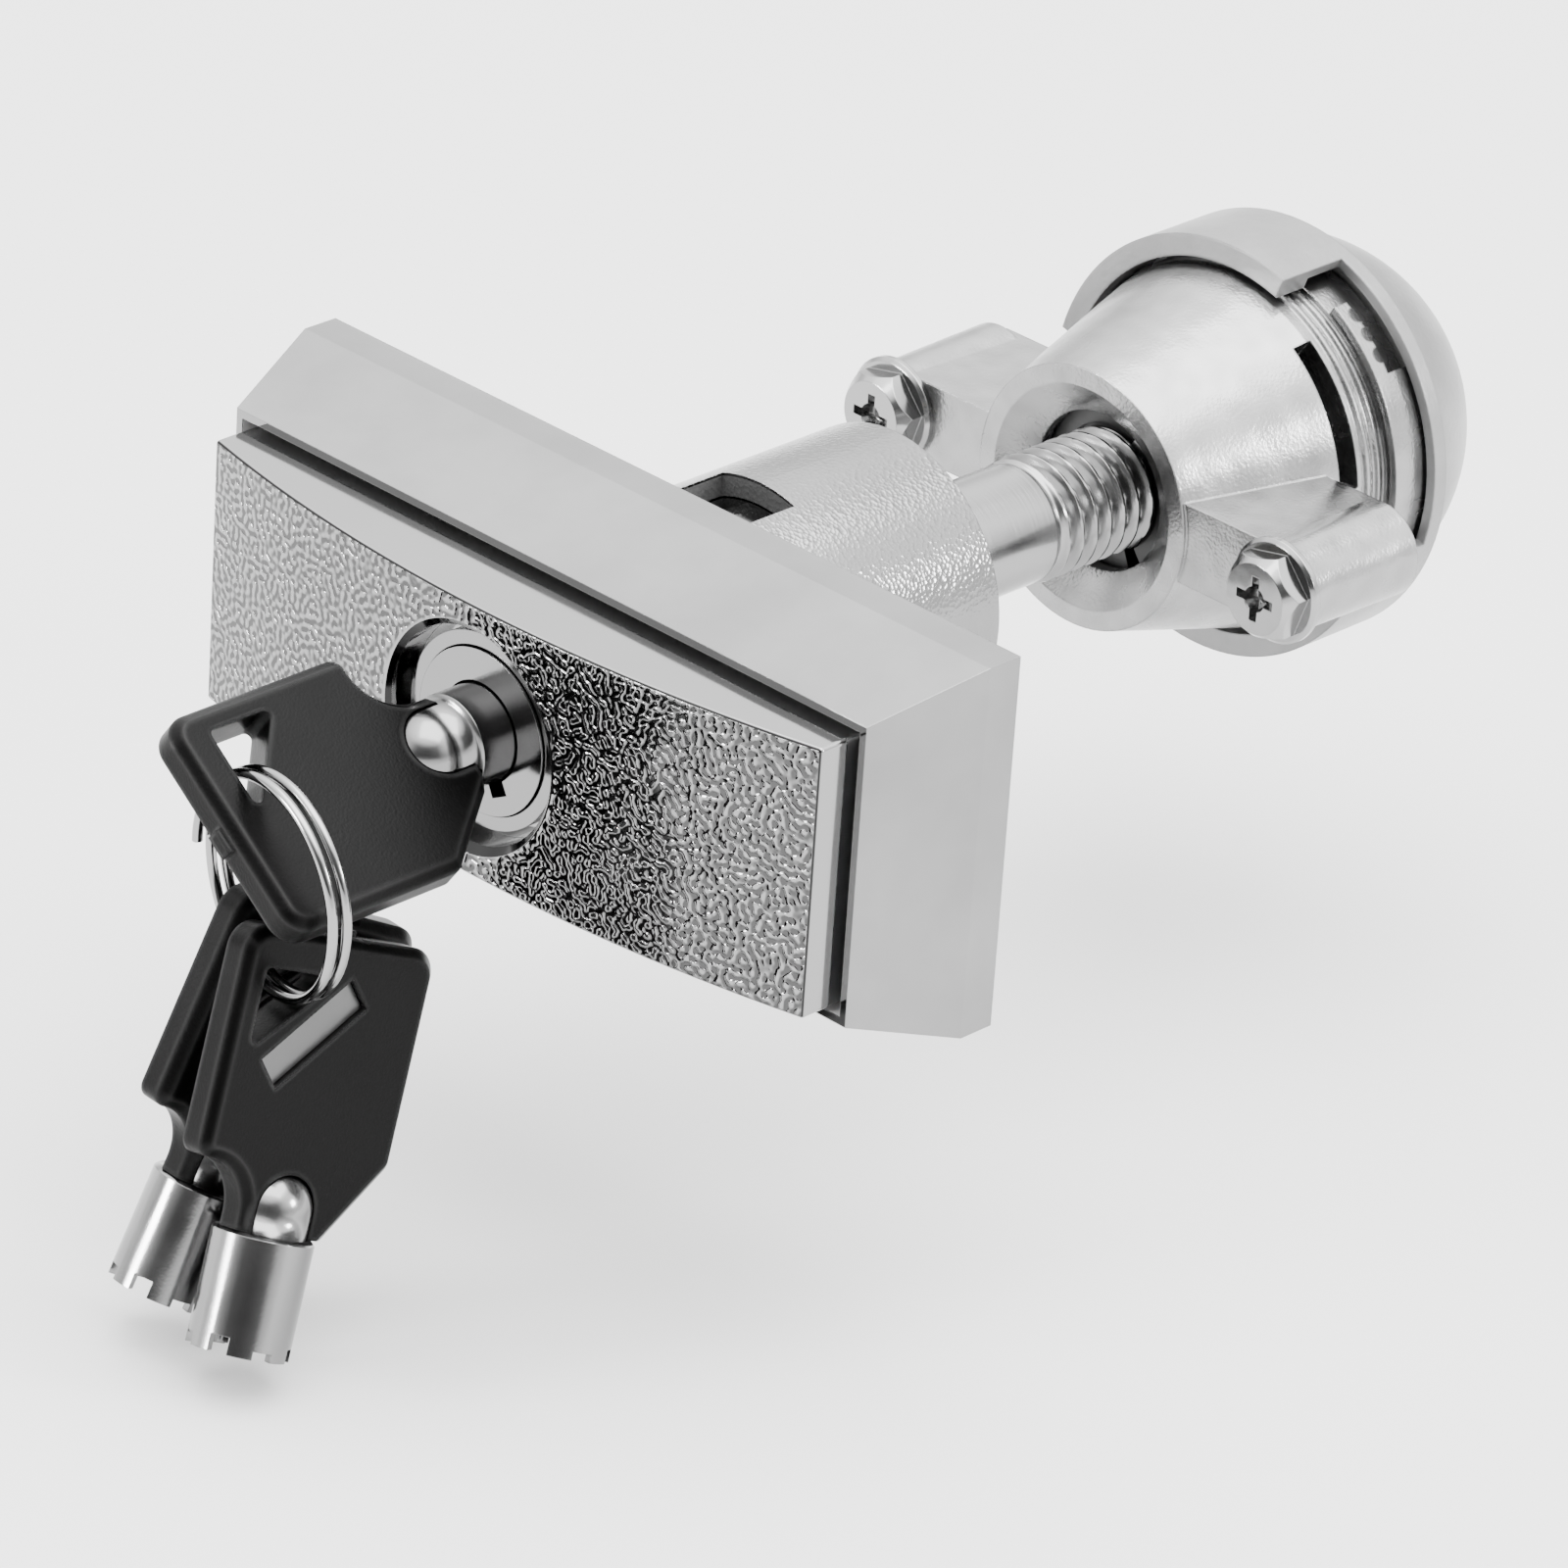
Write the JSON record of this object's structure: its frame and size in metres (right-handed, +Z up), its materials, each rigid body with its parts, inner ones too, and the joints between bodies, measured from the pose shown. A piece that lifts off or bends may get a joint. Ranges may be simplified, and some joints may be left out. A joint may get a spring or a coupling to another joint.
{
  "type": "pop-out t-handle tubular cylinder lock",
  "caption": "Pop-out T-handle lock with a tubular pin cylinder, a threaded stud, a quick-closing split nut unit with ears and a domed cap, and round keys on a wire ring.",
  "frame": {"origin": "on the lock's axis, in the plane of the bezel's rear face, which seats on the door", "axes": "+Y runs to the rear along the collar and stud, +X along the handle, +Z up across the handle"},
  "size_m": [0.09, 0.1654, 0.071],
  "materials": {
    "bezel_chrome": "bright polished chrome plate with crisp edges",
    "block_chrome": "bright chrome over a wrinkled embossed texture",
    "cylinder_nickel": "bright nickel, finely turned",
    "turned_brass": "plain turned brass",
    "spring_steel": "bright spring wire",
    "stud_steel": "bright zinc on turned steel",
    "nut_steel": "dark hardened steel",
    "bush_plastic": "plain moulded plastic",
    "cast_zinc": "semi-bright zinc casting",
    "cap_grey": "light grey matt casting",
    "screw_zinc": "bright zinc plate",
    "key_nickel": "bright nickel tube",
    "key_black": "black fine-grained moulded plastic",
    "ring_steel": "bright wire"
  },
  "bodies": {
    "bezel": {"bezel_housing": "bezel_chrome", "stud": "stud_steel", "stud_bush": "bush_plastic", "retaining_ring": "spring_steel", "pop_spring": "spring_steel"},
    "handle": {"handle_block": "block_chrome", "lock_shell": "cylinder_nickel", "lock_barrel": "cylinder_nickel", "pin_block": "turned_brass", "driver_pins": "turned_brass", "pin_springs": "spring_steel", "barrel_pin": "spring_steel", "spring_seat": "stud_steel"},
    "rotor": {"lock_rotor": "turned_brass", "key_pins": "turned_brass", "lock_cam": "stud_steel"},
    "latch": {"latch_bolt": "stud_steel"},
    "key": {"key_tube": "key_nickel", "key_bow": "key_black"},
    "ring": {"key_ring": "ring_steel"},
    "spare_1": {"spare_key_tube_1": "key_nickel", "spare_key_bow_1": "key_black"},
    "spare_2": {"spare_key_tube_2": "key_nickel", "spare_key_bow_2": "key_black"},
    "nut_carriage": {"thrust_washer": "bush_plastic"},
    "nut_core": {"segment_guide": "stud_steel", "nut_spring": "spring_steel"},
    "nut_unit": {"nut_housing": "cast_zinc", "ear_screws": "screw_zinc"},
    "cap": {"rear_cap": "cap_grey"},
    "segment_1": {"nut_segment_1": "nut_steel"},
    "segment_2": {"nut_segment_2": "nut_steel"},
    "segment_3": {"nut_segment_3": "nut_steel"}
  },
  "joints": [
    {"name": "handle_pop", "type": "slide", "parent": "bezel", "child": "handle", "axis": [0, -1, 0], "range_m": [0, 0.013], "deforming": ["pop_spring"]},
    {"name": "key_turn", "type": "hinge", "parent": "handle", "child": "rotor", "pos_m": [0, 0, 0], "axis": [0, -1, 0], "range_deg": [0, 90]},
    {"name": "latch_slide", "type": "slide", "parent": "handle", "child": "latch", "axis": [0, 0, 1], "range_m": [0, 0.0017]},
    {"name": "key_withdraw", "type": "slide", "parent": "rotor", "child": "key", "axis": [0, -1, 0], "range_m": [0, 0.015]},
    {"name": "ring_swing", "type": "hinge", "parent": "key", "child": "ring", "pos_m": [-0.00376, -0.04805, 0.00277], "axis": [-0.8255, 0.1368, -0.5475], "range_deg": [-8, 30]},
    {"name": "spare_swing_1", "type": "hinge", "parent": "ring", "child": "spare_1", "pos_m": [0.00368, -0.04897, -0.01637], "axis": [0.9794, -0.0289, 0.2], "range_deg": [-8, 10]},
    {"name": "spare_swing_2", "type": "hinge", "parent": "ring", "child": "spare_2", "pos_m": [-0.002, -0.04808, -0.01572], "axis": [0.9962, -0.0841, 0.0238], "range_deg": [-10, 8]},
    {"name": "nut_advance", "type": "slide", "parent": "bezel", "child": "nut_carriage", "axis": [0, 1, 0], "range_m": [-0.00977, 0.01759]},
    {"name": "nut_turn", "type": "hinge", "parent": "nut_carriage", "child": "nut_core", "pos_m": [0, 0, 0], "axis": [0, 1, 0], "range_deg": [-1800, 3240]},
    {"name": "nut_push", "type": "slide", "parent": "nut_core", "child": "nut_unit", "axis": [0, -1, 0], "range_m": [0, 0.0055], "stiffness_N_per_m": 500, "springref_m": -0.004, "deforming": ["nut_spring"]},
    {"name": "cap_twist", "type": "hinge", "parent": "nut_unit", "child": "cap", "pos_m": [0, 0.085, 0], "axis": [0, 1, 0], "range_deg": [0, 55]},
    {"name": "split_open_1", "type": "slide", "parent": "nut_core", "child": "segment_1", "axis": [1, 0, 0], "range_m": [0, 0.0015]},
    {"name": "split_open_2", "type": "slide", "parent": "nut_core", "child": "segment_2", "axis": [-0.5, 0, 0.866], "range_m": [0, 0.0015]},
    {"name": "split_open_3", "type": "slide", "parent": "nut_core", "child": "segment_3", "axis": [-0.5, 0, -0.866], "range_m": [0, 0.0015]}
  ],
  "couplings": [
    {"joint": "key_turn", "follows": "latch_slide", "rad_per_m": 925.5},
    {"joint": "nut_turn", "follows": "nut_advance", "rad_per_m": 3215.5},
    {"joint": "split_open_1", "follows": "nut_push", "ratio": 0.26795},
    {"joint": "split_open_2", "follows": "nut_push", "ratio": 0.26795},
    {"joint": "split_open_3", "follows": "nut_push", "ratio": 0.26795}
  ]
}
